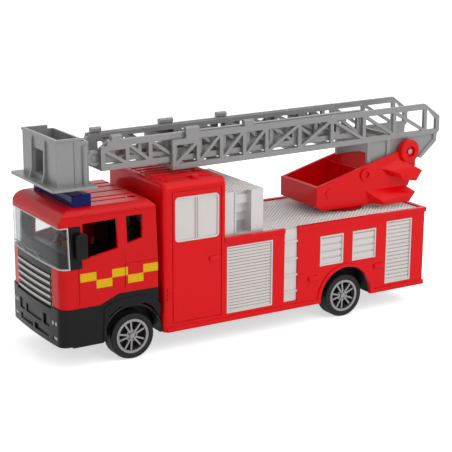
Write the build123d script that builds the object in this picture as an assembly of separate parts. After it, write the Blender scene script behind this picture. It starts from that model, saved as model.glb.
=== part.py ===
from build123d import *
import os
from math import cos, hypot, radians, sin

# Toy fire engine with a turning, rising and extending ladder.  Millimetres.
# X runs forward along the vehicle, Y to its left, Z up from the ground.
# While it is built, X is counted from the rear face of the body.

# ---------------------------------------------------------------- driving sizes
body_width = 54.0            # over the flat sides of body and cab
body_length = 148.0          # rear face to the front of the crew cabin
body_bottom = 9.7            # lower edge of the red sides above the ground
shell_wall = 1.5             # moulded wall of the red shells
deck_height = 48.8           # top of the silver deck
rim_rise = 0.8               # the red rim stands this far over the deck
lip_out = 0.6                # moulded lips on the sides stand out this far
crew_length = 31.5           # crew cabin, along X
crew_height = 78.0           # crew cabin roof
steps_box_length = 22.2      # silver box between deck and crew cabin
steps_box_height = 69.8
steps_box_inset = 2.6        # its sides stand inside the body sides
cab_gap = 3.0                # open gap between body and cab
cab_length = 48.2            # cab, rear wall to the middle of the front
cab_roof = 71.4
front_bow = 1.3              # the front is bowed by this much at its corners
tumblehome = 1.6             # the cab sides lean in by this much at the roof
cab_wall = 1.5

wheel_base = 115.4
rear_overhang = 47.8         # rear face to the rear axle
wheel_diameter = 21.4
wheel_width = 8.4
wheel_track_out = 51.6       # over the outer faces of the tyres
hub_cap_diameter = 15.8
axle_diameter = 2.0
rear_arch_radius = 15.0

turntable_station = 34.0     # centre of the turntable
turntable_post_diameter = 9.0
turret_width = 31.0
turret_wall = 1.5
pivot_station = 2.5          # axis that the ladder rises about
pivot_height = 76.2
pivot_pin_diameter = 2.5

ladder_tilt = 0.9            # the parked ladder points down by this many degrees
main_ladder_width = 27.0
main_ladder_rear = -18.7
main_ladder_front = 135.6
main_ladder_bottom = 82.6    # heights are those of the ladder laid level
main_ladder_height = 15.9
ladder_side = 1.6            # thickness of each side truss
mid_ladder_rear = 30.0
mid_ladder_front = 170.0
mid_ladder_height = 13.0
top_ladder_rear = 37.0
top_ladder_front = 168.6
top_ladder_height = 9.8
floor_rail = 2.6             # height of the lower rails and of the rungs
top_rail = 2.8
hinge_station = 172.2        # axis of the platform hinge, ladder laid level
hinge_height = 91.7

platform_station = 179.1     # rear wall of the platform
platform_length = 15.0
platform_width = 36.0
platform_bottom = 79.0
platform_height = 21.4
platform_wall = 1.1
floor_plate_width = 46.0
floor_plate_length = 20.7

slide_gap = 0.3              # between ladder sections, each side
running_gap = 0.08           # radial, pins and axles in their bores
seat_gap = 0.1               # around inserts in their openings
press_gap = 0.02             # radial, pressed hubs and caps

# ---------------------------------------------------------------- places worked out
half = body_width / 2
cab_rear = body_length + cab_gap
cab_front = cab_rear + cab_length
crew_rear = body_length - crew_length
box_rear = crew_rear - steps_box_length
rim_height = deck_height + rim_rise
wheel_radius = wheel_diameter / 2
rear_axle_station = rear_overhang
front_axle_station = rear_overhang + wheel_base
wheel_out = wheel_track_out / 2
wheel_in = wheel_out - wheel_width
tilt = radians(ladder_tilt)
tail_rise = main_ladder_bottom + 1.6 - pivot_height     # lowest corner of the ladder's tail
overall_rear = pivot_station + (main_ladder_rear - pivot_station) * cos(tilt) + tail_rise * sin(tilt)
overall_front = cab_front
middle = (overall_rear + overall_front) / 2


# ---------------------------------------------------------------- small makers
def block(x0, x1, y0, y1, z0, z1):
    """A box between two corners."""
    size = (x1 - x0, y1 - y0, z1 - z0)
    return Pos((x0 + x1) / 2, (y0 + y1) / 2, (z0 + z1) / 2) * Box(*size)


def side_shape(points, y0, y1):
    """A closed outline in the XZ plane, made solid from y0 to y1."""
    outline = Plane.XZ * Polyline(*points, close=True)
    return Pos(0, y0, 0) * extrude(make_face(outline), y1 - y0, dir=(0, 1, 0))


def rod(x, z, radius, y0, y1):
    """A round bar along Y."""
    return Pos(x, (y0 + y1) / 2, z) * Rot(90, 0, 0) * Cylinder(radius, y1 - y0)


def post(x, y, radius, z0, z1):
    """A round bar along Z."""
    return Pos(x, y, (z0 + z1) / 2) * Cylinder(radius, z1 - z0)


def both_sides(solid):
    """The solid and its mirror image over the middle plane."""
    return solid + mirror(solid, Plane.XZ)


def laid(solid):
    """Turns a ladder part from level to its parked slope, about the pivot."""
    here = Pos(pivot_station, 0, pivot_height)
    return here * Rot(0, ladder_tilt, 0) * here.inverse() * solid


# ---------------------------------------------------------------- body of the engine
panel_frame = 0.8            # light frame round each silver panel
panel_recess = 0.5           # slats lie this far inside the side
panel_back = 1.0             # thickness of the flange behind the wall
# name, rear edge, front edge, lower edge, upper edge, number of slats
side_panels = [
    ("main_shutter", 90.3, 115.4, 13.2, 45.2, 21),
    ("front_louvre", 49.6, 63.4, 28.0, 43.0, 4),
    ("rear_louvre", 30.0, 44.3, 28.0, 43.0, 4),
    ("rear_shutter", 7.8, 23.8, 13.2, 45.2, 16),
]
strip_rear = 76.3
strip_front = 83.8
strip_bottom = 13.2
strip_rungs = (18.2, 26.3, 34.3, 42.7)
window_rear = 119.5
window_front = 142.3
window_bottom = 50.8
window_top = 71.4
window_corner = 2.0
tail_shutter_half = 15.0
tail_shutter_bottom = 16.0
tail_shutter_top = 43.0
tail_shutter_slats = 13


def panel_hole(x0, x1, z0, z1, sign):
    """The opening in one side wall that a silver panel shows through."""
    y_out = half + lip_out + 1
    y_in = half - shell_wall - 1
    lo, hi = sorted((sign * y_in, sign * y_out))
    return block(x0, x1, lo, hi, z0, z1)


def slat_face(z0, z1, count, depth):
    """Outline of a slatted face: one shallow tooth for each slat, seen on end."""
    pitch = (z1 - z0) / count
    teeth = []
    for i in range(count):
        base = z0 + i * pitch
        teeth += [(depth, base), (depth, base + pitch * 0.72), (0, base + pitch * 0.8)]
        teeth += [(0, base + pitch * 0.98)]
    return teeth


def slatted_panel(x0, x1, z0, z1, count):
    """A silver panel, as it lies in the left side of the body."""
    g = seat_gap
    back = half - shell_wall
    flange = block(x0 - 1, x1 + 1, back - panel_back, back, z0 - 1, z1 + 1)
    frame = block(x0 + g, x1 - g, back, half, z0 + g, z1 - g)
    f = panel_frame
    inner = block(x0 + f, x1 - f, half - panel_recess - 0.5, half + 1, z0 + f, z1 - f)
    teeth = slat_face(z0 + f, z1 - f, count, panel_recess)
    face_y = half - panel_recess - 0.5
    outline = [(face_y - 0.1, z0 + f)]
    outline += [(face_y + y, z) for y, z in teeth]
    outline += [(face_y, z1 - f), (face_y - 0.1, z1 - f)]
    wire = Plane.YZ * Polyline(*outline, close=True)
    slats = Pos(x0 + f, 0, 0) * extrude(make_face(wire), x1 - x0 - 2 * f, dir=(1, 0, 0))
    return flange + (frame - inner) + slats


def ladder_strip():
    """The open strip with four rungs in the left side of the body."""
    g = seat_gap
    back = half - shell_wall
    top = deck_height - 2.4
    plate = block(strip_rear - 1, strip_front + 1, back - panel_back, back, strip_bottom - 1, top)
    fill = block(strip_rear + g, strip_front - g, back, half - 0.7, strip_bottom + g, deck_height)
    strip = plate + fill
    for z in strip_rungs:
        strip += block(strip_rear + g, strip_front - g, half - 0.8, half, z - 0.45, z + 0.45)
    return strip


def rounded_window(x0, x1, z0, z1, corner, y0, y1):
    slab = block(x0, x1, y0, y1, z0, z1)
    return fillet(slab.edges().filter_by(Axis.Y), corner)


def window_insert():
    """The silver two-pane window of the crew cabin, left side."""
    g = seat_gap
    back = half - shell_wall
    flange = block(window_rear - 1, window_front + 1, back - panel_back, back,
                   window_bottom - 1, window_top + 1)
    pane = rounded_window(window_rear + g, window_front - g, window_bottom + g,
                          window_top - g, window_corner - g, back, half)
    f = panel_frame
    sink = rounded_window(window_rear + f, window_front - f, window_bottom + f,
                          window_top - f, window_corner - f + 0.2, half - 0.6, half + 1)
    mid = (window_rear + window_front) / 2
    bar = block(mid - 0.75, mid + 0.75, half - 0.7, half, window_bottom + f, window_top - f)
    slit = block(mid - 0.2, mid + 0.2, half - 0.5, half + 1, window_bottom + f, window_top - f)
    return flange + (pane - sink) + (bar - slit)


def arch_lip(x, inner, outer):
    """Raised half ring round a wheel opening in the left side."""
    ring = rod(x, wheel_radius, outer, half - 0.5, half + lip_out)
    ring -= rod(x, wheel_radius, inner, half - 1, half + lip_out + 1)
    return ring & block(x - outer - 1, x + outer + 1, 0, half + 5, body_bottom, 60)


def handle(x0, x1, z0, z1):
    """A raised grab handle with a softened face, on the left side."""
    pad = block(x0, x1, half - 0.5, half + 1.0, z0, z1)
    return fillet(pad.edges().group_by(Axis.Y)[-1], 0.55)


def body_shell():
    """The red body: sides, tail, and crew cabin with its ribbed roof."""
    outline = [(0, body_bottom), (body_length, body_bottom), (body_length, crew_height),
               (crew_rear, crew_height), (crew_rear, rim_height), (0, rim_height)]
    shell = side_shape(outline, -half, half)
    roof_edges = shell.edges().filter_by(Axis.X).filter_by_position(
        Axis.Z, crew_height - 0.1, crew_height + 0.1)
    shell = fillet(roof_edges, 3.2)
    corners = shell.edges().filter_by(Axis.Z).filter_by_position(
        Axis.X, body_length - 0.1, body_length + 0.1)
    shell = fillet(corners, 2.0)
    w = shell_wall
    cavity_outline = [(w, body_bottom - 1), (body_length - w, body_bottom - 1),
                      (body_length - w, crew_height - w), (crew_rear + w, crew_height - w),
                      (crew_rear + w, rim_height + 1), (w, rim_height + 1)]
    cavity = side_shape(cavity_outline, -half + w, half - w)
    cabin_edges = cavity.edges().filter_by(Axis.X).filter_by_position(
        Axis.Z, crew_height - w - 0.1, crew_height - w + 0.1)
    cavity = fillet(cabin_edges, 2.0)
    shell -= cavity
    # moulded lips along the top and bottom of each side
    lip = block(-lip_out, crew_rear, half - 0.5, half + lip_out, rim_height - 2.2, rim_height)
    low = block(-lip_out, body_length - 1.5, half - 0.5, half + lip_out, body_bottom,
                body_bottom + 2.2)
    low -= block(rear_axle_station - rear_arch_radius - 0.7,
                 rear_axle_station + rear_arch_radius + 0.7, 0, half + 5, 0, 20)
    shell += both_sides(lip + low)
    shell += block(-lip_out, 0.5, -half, half, rim_height - 2.2, rim_height)
    shell += block(-lip_out, 0.5, -half, half, body_bottom, body_bottom + 2.2)
    # wheel openings
    shell -= rod(rear_axle_station, wheel_radius, rear_arch_radius, -half - 5, half + 5)
    shell -= block(rear_axle_station - rear_arch_radius, rear_axle_station + rear_arch_radius,
                   -half - 5, half + 5, 0, wheel_radius)
    shell += both_sides(arch_lip(rear_axle_station, rear_arch_radius, rear_arch_radius + 1.6))
    # openings for the silver panels
    for sign in (1, -1):
        for name, x0, x1, z0, z1, count in side_panels:
            shell -= panel_hole(x0, x1, z0, z1, sign)
        shell -= panel_hole(strip_rear, strip_front, strip_bottom, rim_height + 1, sign)
        y0, y1 = (half - shell_wall - 1, half + 2) if sign > 0 else (-half - 2, -half + shell_wall + 1)
        shell -= rounded_window(window_rear, window_front, window_bottom, window_top,
                                window_corner, y0, y1)
    shell -= block(-2, w + 1, -tail_shutter_half, tail_shutter_half,
                   tail_shutter_bottom, tail_shutter_top)
    # crew door: a fine groove round it, and a raised grab handle
    door_rear = crew_rear + 1.6
    door_front = body_length - 4.2
    door = block(door_rear, door_front, half - 0.4, half + 2, 13.4, 74.2)
    door -= block(door_rear + 0.5, door_front - 0.5, half - 1, half + 3, 13.9, 73.7)
    shell -= both_sides(door)
    handles = handle(119.2, 124.8, 40.2, 42.2) + handle(64.6, 70.0, 21.5, 24.0)
    handles += handle(25.4, 31.0, 22.2, 24.6)
    for z in (24.6, 26.8, 29.0):
        handles += block(body_length - 3.4, body_length - 1.6, half - 0.5, half + 0.5, z, z + 1.2)
    shell += both_sides(handles)
    # ribs along the crew roof and the two ladder guides
    for i in range(9):
        y = (i - 4) * 4.6
        shell += block(crew_rear + 3, body_length - 3, y - 0.8, y + 0.8,
                       crew_height - 0.5, crew_height + 0.45)
    guide = post(129.3, 21.6, 1.8, crew_height - 1, crew_height + 1.5)
    guide = fillet(guide.edges().group_by(Axis.Z)[-1], 0.7)
    shell += both_sides(guide)
    # the base passes under the front wall
    shell -= block(body_length - w - 1, body_length + 1, -half + w, half - w, 0,
                   base_level + base_thickness + 0.2)
    # bosses for the base screws
    for x in body_screws:
        boss = post(x, 0, 3.2, 14.2, 30) - post(x, 0, screw_shank_radius, 14, 28)
        rib = block(x - 0.6, x + 0.6, -half + 1, half - 1, 22, 30) - post(x, 0, 3.0, 14, 31)
        shell += boss + rib
    return shell


def tail_shutter():
    """The slatted silver door in the tail."""
    g = seat_gap
    h = tail_shutter_half
    z0, z1 = tail_shutter_bottom, tail_shutter_top
    w = shell_wall
    flange = block(w, w + panel_back, -h - 1, h + 1, z0 - 1, z1 + 1)
    f = panel_frame
    frame = block(0, w, -h + g, h - g, z0 + g, z1 - g)
    frame -= block(-1, panel_recess + 0.5, -h + f, h - f, z0 + f, z1 - f)
    outline = [(panel_recess + 0.6, z0 + f)]
    outline += [(panel_recess + 0.5 - x, z)
                for x, z in slat_face(z0 + f, z1 - f, tail_shutter_slats, panel_recess)]
    outline += [(panel_recess + 0.5, z1 - f), (panel_recess + 0.6, z1 - f)]
    slats = side_shape(outline, -h + f, h - f)
    return flange + frame + slats


step_rear = box_rear + 6.6
step_front = crew_rear - 7.6
step_depth = 7.2
step_count = 4


def deck_insert():
    """Silver moulding: tread-plate deck and the box with steps in both sides."""
    w = shell_wall
    g = seat_gap
    edge = half - w - g
    plate = block(w + g, crew_rear + w, -edge, edge, deck_height - 1.4, deck_height)
    box_half = half - steps_box_inset
    box = block(box_rear, crew_rear - g, -box_half, box_half, deck_height - 0.5, steps_box_height)
    box -= block(box_rear + 1.3, crew_rear - 1.4, -box_half + 9, box_half - 9,
                 deck_height - 3, steps_box_height - 1.3)
    rise = (steps_box_height - 3.6 - deck_height) / step_count
    for i in range(step_count):
        depth = step_depth - i * step_depth / (step_count + 1)
        z0 = deck_height + 1.2 + i * rise
        cut = block(step_rear, step_front, box_half - depth, box_half + 1, z0, z0 + rise + 0.01)
        cut += block(step_rear, step_front, box_half - depth, box_half + 1, z0, z0 + rise)
        box -= both_sides(cut)
    top_cut = block(step_rear, step_front, box_half - step_depth * 0.6, box_half + 1,
                    deck_height + 1.2 + step_count * rise - 0.02, steps_box_height + 1)
    box -= both_sides(top_cut)
    groove = block(step_front + 0.8, step_front + 1.3, box_half - 0.4, box_half + 1,
                   deck_height + 0.2, steps_box_height + 1)
    box -= both_sides(groove)
    hole = post(turntable_station, 0, turntable_post_diameter / 2 + running_gap * 2,
                deck_height - 5, deck_height + 5)
    boss = post(turntable_station, 0, turntable_post_diameter / 2 + 2.4,
                deck_height - 4.4, deck_height - 1.3)
    # skirts that drop inside the body walls and hold the deck level
    skirt = block(w + g, crew_rear - 2, edge - 1.2, edge, deck_height - 2.3, deck_height - 1)
    return plate + box + both_sides(skirt) + boss - hole


# ---------------------------------------------------------------- base and axles
body_screws = (27.4, 87.0)   # between the side panels
cab_screw = 189.0
screw_shank_radius = 1.1
screw_head_radius = 2.3
screw_head_height = 1.6
base_thickness = 2.0
base_level = body_bottom + 0.3
well_inner = wheel_in - 1.3          # inboard wall of each wheel well
well_wall = 1.0
front_well_radius = 14.0


def wheel_well(x, radius):
    """Arched liner over one left wheel, with its inboard wall."""
    y1 = half - shell_wall - seat_gap - 0.1
    solid = rod(x, wheel_radius, radius + well_wall, well_inner - well_wall, y1)
    solid -= rod(x, wheel_radius, radius, well_inner, y1 + 1)
    return solid & block(x - radius - 2, x + radius + 2, 0, half, base_level, 60)


def chassis():
    """The black base: floor, wheel wells, axle bearings and screw holes."""
    y1 = half - shell_wall - seat_gap - 0.1
    floor = block(shell_wall + seat_gap, cab_front - 7.5, -y1, y1, base_level,
                  base_level + base_thickness)
    for x, radius in ((rear_axle_station, rear_arch_radius), (front_axle_station, front_well_radius)):
        gap = block(x - radius, x + radius, well_inner, half + 1, base_level - 2, base_level + 8)
        floor -= both_sides(gap)
        floor += both_sides(wheel_well(x, radius))
        bearing = block(x - 3.6, x + 3.6, 9.0, well_inner - well_wall + 0.1, wheel_radius - 3.4,
                        wheel_radius + 3.8)
        floor += both_sides(bearing)
        floor -= rod(x, wheel_radius, axle_diameter / 2 + running_gap, -half, half)
        trench = block(x - 2.4, x + 2.4, -8.9, 8.9, base_level - 1, base_level + base_thickness + 1)
        floor -= trench
    for x in body_screws + (cab_screw,):
        floor += post(x, 0, 3.4, base_level, 14.1)
        floor -= post(x, 0, screw_shank_radius + 0.15, base_level - 1, 20)
        floor -= post(x, 0, screw_head_radius + 0.2, base_level - 1, base_level + screw_head_height)
    for y in (-6.0, 6.0):
        floor += block(66, 140, y - 0.6, y + 0.6, base_level + base_thickness - 0.2, 14.0)
    # posts that carry the deck
    for x in (20.0, 78.0):
        floor += both_sides(post(x, 12.0, 2.2, base_level + 1, deck_height - 1.4))
    return floor


def base_screws():
    """Three self-tapping screws that hold the base to the shells."""
    screws = None
    for x, top in [(x, 26.0) for x in body_screws] + [(cab_screw, 24.0)]:
        z0 = base_level
        head = post(x, 0, screw_head_radius, z0, z0 + screw_head_height - 0.05)
        head -= block(x - 1.6, x + 1.6, -0.3, 0.3, z0 - 1, z0 + 0.8)
        head -= block(x - 0.3, x + 0.3, -1.6, 1.6, z0 - 1, z0 + 0.8)
        shank = post(x, 0, screw_shank_radius - press_gap, z0 + 1, top)
        screw = head + shank
        screws = screw if screws is None else screws + screw
    return screws


def tyre():
    """One black wheel, axis along Y through the origin, outer face at +Y."""
    r = wheel_radius
    w = wheel_width
    shoulder = 1.3
    groove = 0.35
    profile = [(axle_diameter / 2 + press_gap, 0), (r - 1.0, 0), (r - 0.35, 0.25), (r, shoulder)]
    for centre in (0.36 * w, 0.5 * w, 0.64 * w):
        profile += [(r, centre - 0.3), (r - groove, centre - 0.2)]
        profile += [(r - groove, centre + 0.2), (r, centre + 0.3)]
    cap = hub_cap_diameter / 2 + press_gap
    profile += [(r, w - shoulder), (r - 0.35, w - 0.3), (r - 1.0, w), (cap + 0.6, w)]
    profile += [(cap, w - 0.5), (cap, w - hub_cap_depth), (axle_diameter / 2 + press_gap,
                                                           w - hub_cap_depth)]
    face = make_face(Plane.XY * Polyline(*profile, close=True))
    return Pos(0, -w, 0) * revolve(face, Axis.Y)


hub_cap_depth = 3.4
spoke_pairs = 5


def hub_cap():
    """Silver hub cap with ten spokes in five pairs and five wheel nuts."""
    r = hub_cap_diameter / 2
    back = -hub_cap_depth
    front = -0.6
    ring_in = r - 1.0
    cap = rod(0, 0, r, back, front) - rod(0, 0, ring_in, back - 1, front + 1)
    lip = rod(0, 0, r + 0.5, -0.7, -0.15) - rod(0, 0, ring_in - 0.2, -1, 1)
    cap += lip & rod(0, 0, r, -1, 0)
    centre = rod(0, 0, 2.7, back, front - 0.5)
    centre += rod(0, 0, 1.2, front - 0.6, front + 0.1)
    spoke_half = 0.42
    for pair in range(spoke_pairs):
        for side in (-1, 1):
            angle = pair * 360 / spoke_pairs + side * 13.5
            bar = block(1.5, ring_in + 0.4, front - 2.0, front - 0.2, -spoke_half, spoke_half)
            centre += Rot(0, angle, 0) * bar
    cap += centre
    for pair in range(spoke_pairs):
        angle = pair * 360 / spoke_pairs + 36
        nut = Rot(0, angle, 0) * rod(1.85, 0, 0.36, front - 1.2, front + 1)
        cap -= nut
    return cap


def axle():
    return rod(0, 0, axle_diameter / 2, -wheel_out + hub_cap_depth + 0.05,
               wheel_out - hub_cap_depth - 0.05)


# ---------------------------------------------------------------- cab
skirt_front_top = 28.2       # red meets black at this height at the front
skirt_rear_top = 32.0        # and at this height over the wheel
skirt_bottom = 11.4
corner_radius = 4.0
screen_bottom = 45.8         # glass edges
screen_top = 64.2
screen_rear = cab_front - 6.3
screen_wall = 1.0
grille_half = 18.4
grille_bottom = 28.6
grille_top = 45.2
grille_bars = 5
grille_bar_pitch = 3.05
grille_bar_height = 1.25
visor_front = cab_front - 1.9
visor_depth = 7.6            # length of the round at the front of the roof


def plan_slab(front, half_width, corner, z0, z1, rear=cab_rear):
    """Plan of the cab: straight sides, bowed front, round corners."""
    shoulder = front - front_bow
    side_left = Line((rear, half_width), (shoulder, half_width))
    nose = ThreePointArc((shoulder, half_width), (front, 0), (shoulder, -half_width))
    side_right = Line((shoulder, -half_width), (rear, -half_width))
    back = Line((rear, -half_width), (rear, half_width))
    face = make_face([side_left, nose, side_right, back])
    front_points = face.vertices().filter_by_position(Axis.X, shoulder - 0.1, front + 0.1)
    face = fillet(front_points, corner)
    return Pos(0, 0, z0) * extrude(face, z1 - z0, dir=(0, 0, 1))


def cab_block(inset, z0):
    """The cab's outer form, or with an inset the space inside its wall."""
    front = cab_front - 0.6 - inset
    width = half - inset
    roof = cab_roof - inset
    plan = plan_slab(front, width, corner_radius - inset * 0.6, z0, roof + 2)
    visor = visor_front - inset
    nose = visor - visor_depth
    outline = Polyline((cab_rear + inset, z0), (front + 1, z0), (front + 1, screen_bottom - 1),
                       (visor, screen_top + 0.6))
    brow = ThreePointArc((visor, screen_top + 0.6),
                         (visor - 2.0, roof - 2.1), (nose, roof))
    top = Polyline((nose, roof), (cab_rear + inset + 2.5, roof), (cab_rear + inset, roof - 2.5),
                   (cab_rear + inset, z0))
    side_face = make_face([Plane.XZ * e for e in (outline, brow, top)])
    side = Pos(0, -half - 1, 0) * extrude(side_face, body_width + 2, dir=(0, 1, 0))
    belt = 46.0
    lean = width - tumblehome
    edge_round = 3.4
    right = Polyline((0, z0), (width, z0), (width, belt), (lean, roof - edge_round))
    curve = ThreePointArc((lean, roof - edge_round),
                          (lean - 0.32 * edge_round, roof - 0.32 * edge_round),
                          (lean - edge_round, roof))
    lid = Line((lean - edge_round, roof), (0, roof))
    close_line = Line((0, roof), (0, z0))
    half_face = make_face([Plane.YZ * e for e in (right, curve, lid, close_line)])
    half_solid = extrude(half_face, cab_front + 10, dir=(1, 0, 0))
    section = half_solid + mirror(half_solid, Plane.XZ)
    return plan & side & section


def front_window():
    """Outline of the front door window, seen from the side."""
    return [(186.4, 65.0), (170.0, 65.4), (170.2, 52.4), (186.4, 49.4)]


def rear_window():
    return [(165.7, 65.8), (157.4, 65.8), (158.2, 55.4), (165.6, 53.8)]


def cab_shell():
    """The red cab: roof, doors and corner panels."""
    outer = cab_block(0, skirt_front_top)
    inner = cab_block(cab_wall, skirt_front_top - 1)
    shell = outer - inner
    below = [(cab_front + 5, 20), (cab_front + 5, skirt_front_top), (179.3, skirt_front_top),
             (170.3, skirt_rear_top), (cab_rear - 1, skirt_rear_top), (cab_rear - 1, 20)]
    shell -= side_shape(below, -half - 2, half + 2)
    # the front pillars are cut back for their black covers
    for sign in (1, -1):
        lo, hi = sorted((sign * (half - cab_wall - 1), sign * (half + 2)))
        shell -= block(cover_rear - seat_gap, cab_front, lo, hi, screen_bottom, screen_top)
    # windscreen opening wraps round both corners
    shell -= block(screen_rear, cab_front + 5, -half - 2, half + 2, screen_bottom, screen_top)
    # grille opening
    shell -= block(cab_front - 6, cab_front + 5, -grille_half, grille_half,
                   skirt_front_top - 1, screen_bottom + 0.1)
    for window in (front_window(), rear_window()):
        shell -= side_shape(window, -half - 2, half + 2)
    # door lines and the crease along the belt
    split = block(166.9, 167.3, half - 0.35, half + 2, 34, 66.5)
    front_line = block(189.0, 189.4, half - 0.35, half + 2, 30, screen_bottom)
    belt = block(cab_rear + 0.5, 166.9, half - 0.3, half + 2, 45.0, 45.4)
    shell -= both_sides(split + front_line + belt)
    # rain gutters
    gutter = block(cab_rear + 1.5, 187, half - tumblehome - 1.0, half - tumblehome + 0.35,
                   68.0, 68.7)
    shell += both_sides(gutter)
    # pressed grooves in the roof, the front ones open the round hole at the rear
    for y, x0, x1 in ((15.0, 160.5, 178), (9.0, 153, 176), (0.0, 153, 176),
                      (-9.0, 153, 176), (-15.0, 153, 176)):
        shell -= block(x0, x1, y - 0.9, y + 0.9, cab_roof - 0.6, cab_roof + 1)
    shell -= post(157.6, 15.0, 1.9, cab_roof - 4, cab_roof + 1)
    return shell


def cab_skirt():
    """The black lower cab: bumper, wheel arches and number plate recess."""
    outer = plan_slab(cab_front, half + 0.2, corner_radius, skirt_bottom, skirt_rear_top)
    inner = plan_slab(cab_front - cab_wall, half - cab_wall, corner_radius - 1, skirt_bottom - 1,
                      skirt_rear_top + 1, rear=cab_rear - 2)
    skirt = outer - inner
    above = [(cab_front + 5, skirt_front_top), (179.3, skirt_front_top),
             (170.3, skirt_rear_top), (cab_rear - 1, skirt_rear_top), (cab_rear - 1, 40),
             (cab_front + 5, 40)]
    skirt -= side_shape(above, -half - 2, half + 2)
    # eight-sided wheel arch with a raised lip
    x = front_axle_station
    arch = [(x - 12.9, 0), (x - 12.9, 18), (x - 9.5, 23.4), (x - 5.6, 26.0), (x + 7.2, 26.0),
            (x + 12.0, 22.8), (x + 13.6, 17.0), (x + 13.6, 0)]
    lip = [(x - 12.9, skirt_bottom - 1.6), (x - 12.9, 24.2), (x - 9.6, 28.4), (x - 5.0, 29.8),
           (x + 4.6, 29.8), (x + 9.8, 28.9), (x + 14.4, 26.6), (x + 15.2, skirt_bottom)]
    skirt += both_sides(side_shape(lip, half - 1.3, half + lip_out))
    skirt -= side_shape(arch, -half - 3, half + 3)
    # number plate recess, upper and lower intakes
    reach = cab_front - 0.5
    skirt -= block(reach - 0.1, cab_front + 2, -8.4, 8.4, 18.8, 22.8)
    for sign in (1, -1):
        lo, hi = sorted((sign * 10.5, sign * 16.0))
        skirt -= block(reach - 0.4, cab_front + 2, lo, hi, 18.6, 23.6)
        lo, hi = sorted((sign * 1.0, sign * 15.4))
        skirt -= block(reach - 0.3, cab_front + 2, lo, hi, 13.8, 16.6)
        for y in lamp_places:
            skirt -= lamp_rod(sign * y, headlamp_height, headlamp_radius + 0.06, 6)
        skirt -= fog_slot(sign, 0.06)
    skirt -= block(cab_front - 6, cab_front + 2, -grille_half, grille_half,
                   skirt_front_top - 1.0, skirt_front_top + 1)
    return skirt


cover_rear = 187.5           # rear edge of the black pillar covers
lamp_places = (19.4, 22.2)
headlamp_height = 21.4
headlamp_radius = 1.05
fog_height = 14.6


def lamp_rod(y, z, radius, length):
    """A round lamp body along X that ends at the bumper face."""
    return Pos(cab_front - length / 2 - 0.2, y, z) * Rot(0, 90, 0) * Cylinder(radius, length)


def fog_slot(sign, gap):
    lo, hi = sorted((sign * (19.0 - gap), sign * (23.0 + gap)))
    return block(cab_front - 4.6, cab_front + 1, lo, hi, fog_height - 0.75 - gap,
                 fog_height + 0.75 + gap)


def lamp_unit(sign):
    """Two headlamps and a fog lamp on one silver back plate."""
    back = cab_front - cab_wall - 2.5
    lo, hi = sorted((sign * 17.2, sign * 23.0))
    unit = block(back - 0.9, back, lo, hi, fog_height - 1.4, headlamp_height + 1.6)
    for y in lamp_places:
        face = cab_front - (front_bow + 0.2) * (y / half) ** 2 + 0.25
        length = face - back + 0.4
        lens = Pos(face - length / 2, sign * y, headlamp_height) * Rot(0, 90, 0) * \
            Cylinder(headlamp_radius, length)
        unit += fillet(lens.edges().group_by(Axis.X)[-1], 0.4)
    face = cab_front - (front_bow + 0.2) * (21 / half) ** 2
    lo, hi = sorted((sign * 19.0, sign * 22.9))
    unit += block(back - 0.2, face - 0.1, lo, hi, fog_height - 0.75, fog_height + 0.75)
    return unit


def grille():
    """The black front panel with its silver-painted bars."""
    g = seat_gap
    front = cab_front - 0.7
    half_width = grille_half - g
    z0 = skirt_front_top - 1.0
    body = plan_slab(front, half, corner_radius, z0, screen_bottom - g)
    body &= block(cab_front - 4.0, cab_front, -half_width, half_width, z0, screen_bottom - g)
    bar_plan = plan_slab(front + 0.55, half, corner_radius, z0, screen_bottom)
    bar_plan &= block(cab_front - 3.5, cab_front + 1, -half_width + 0.6, half_width - 0.6, z0,
                      screen_bottom)
    for i in range(grille_bars):
        z = grille_bottom + 0.1 + i * grille_bar_pitch
        body += bar_plan & block(cab_front - 5, cab_front + 2, -half, half, z,
                                 z + grille_bar_height)
    return body


def windscreen():
    """The clear screen that wraps both front corners, with two moulded wipers."""
    g = seat_gap
    outer = cab_block(0, skirt_front_top)
    inner = cab_block(screen_wall, skirt_front_top)
    zone = block(screen_rear + g, cab_front + 5, -half - 2, half + 2, screen_bottom + g,
                 screen_top - g)
    glass = (outer & zone) - inner
    return glass


def light_bar():
    """Clear blue light bar: two lamp ends and a lower bridge."""
    z0 = cab_roof
    x0 = light_bar_rear
    end = block(x0, x0 + 9.0, 12.5, 21.0, z0, z0 + 5.0)
    end = fillet(end.edges().filter_by(Axis.Z), 0.8)
    end = fillet(end.edges().group_by(Axis.Z)[-1], 0.5)
    bar = both_sides(end) + block(x0 + 1.6, x0 + 8.6, -13, 13, z0, z0 + 4.0)
    hollow = both_sides(block(x0 + 0.9, x0 + 8.1, 13.6, 20.1, z0 - 1, z0 + 4.1))
    hollow += block(x0 + 2.5, x0 + 7.7, -12, 12, z0 - 1, z0 + 3.1)
    return bar - hollow


light_bar_rear = 179.6


def mirror_unit():
    """Left door mirror with its black pillar cover."""
    x0 = cover_rear
    y1 = half + 0.1
    cover = block(x0, screen_rear - 0.1, half - 1.3, y1, screen_bottom + 0.2, screen_top - 0.2)
    cover &= cab_block(-0.25, skirt_front_top)
    cover -= cab_block(cab_wall - 0.2, skirt_front_top)
    arm = block(x0 + 0.8, x0 + 2.6, half - 1.6, half + 1.7, 59.4, 60.6)
    arm += block(x0 + 0.8, x0 + 2.6, half - 1.0, half + 1.7, 51.4, 52.6)
    head = block(x0 - 2.0, x0 + 3.4, half + 0.5, half + 2.3, 50.4, 61.4)
    head = fillet(head.edges().filter_by(Axis.Y), 1.2)
    head = fillet(head.edges().group_by(Axis.Y)[-1], 0.5)
    return cover + arm + head


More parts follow.
